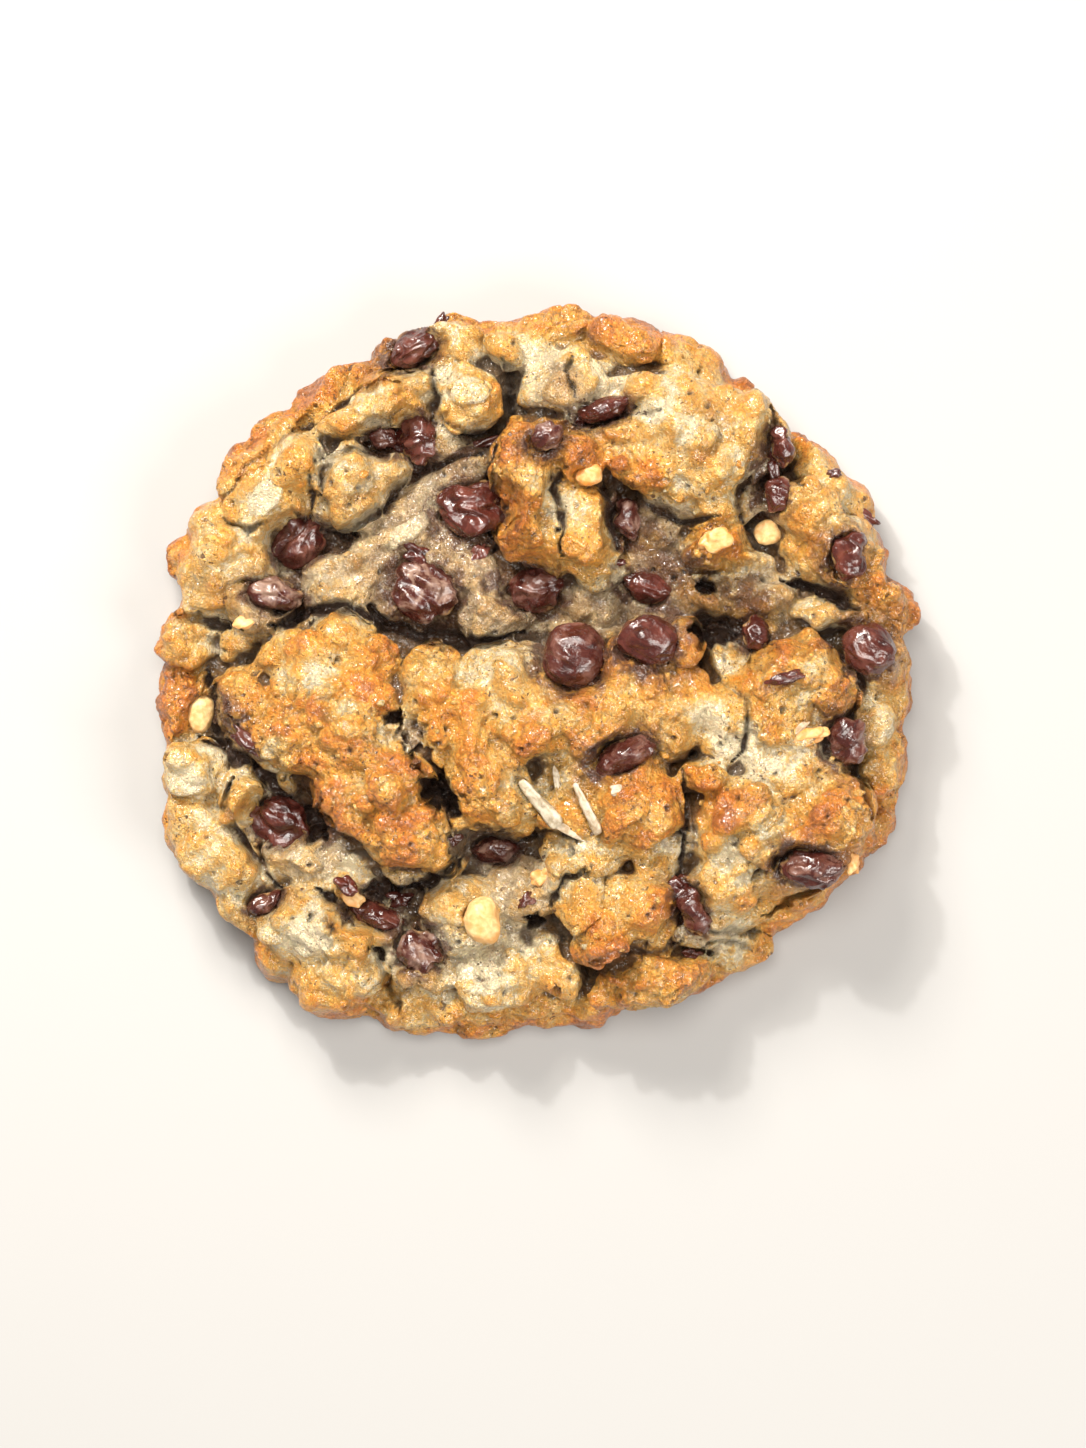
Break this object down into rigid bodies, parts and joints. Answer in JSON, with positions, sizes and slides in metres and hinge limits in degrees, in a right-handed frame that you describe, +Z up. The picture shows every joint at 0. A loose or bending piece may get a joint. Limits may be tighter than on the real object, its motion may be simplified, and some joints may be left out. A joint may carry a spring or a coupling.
{
  "type": "chocolate chip cookie",
  "caption": "Thick round baked chocolate chip cookie with a craggy browned top, chips, nut pieces and flakes set in it, and a flat underside it rests on; a food item to eat or display",
  "frame": {"origin": "middle of the flat underside, at the centre of the box round the cookie", "axes": "+Z up out of the top; +X along the longest way across; +Y across, towards the back"},
  "size_m": [0.11, 0.106, 0.026],
  "materials": {
    "dough": "matt baked dough, golden brown on the tops, paler in the folds, crumbly and pitted",
    "chocolate": "softened dark red-brown chocolate with a soft shine and a pale bloom in places",
    "nut": "smooth pale yellow nut flesh",
    "flake": "pale, dry, slightly see-through flake"
  },
  "bodies": {
    "root": {"chip_01": "chocolate", "chip_02": "chocolate", "chip_03": "chocolate", "chip_04": "chocolate", "chip_05": "chocolate", "chip_06": "chocolate", "chip_07": "chocolate", "chip_08": "chocolate", "chip_09": "chocolate", "chip_10": "chocolate", "chip_11": "chocolate", "chip_12": "chocolate", "chip_13": "chocolate", "chip_14": "chocolate", "chip_15": "chocolate", "chip_16": "chocolate", "chip_17": "chocolate", "chip_18": "chocolate", "chip_19": "chocolate", "chip_20": "chocolate", "chip_21": "chocolate", "chip_22": "chocolate", "chip_23": "chocolate", "chip_24": "chocolate", "chip_25": "chocolate", "chip_26": "chocolate", "chip_27": "chocolate", "chip_28": "chocolate", "dough": "dough", "flake_01": "flake", "flake_02": "flake", "nut_01": "nut", "nut_02": "nut", "nut_03": "nut", "nut_04": "nut"}
  },
  "joints": []
}
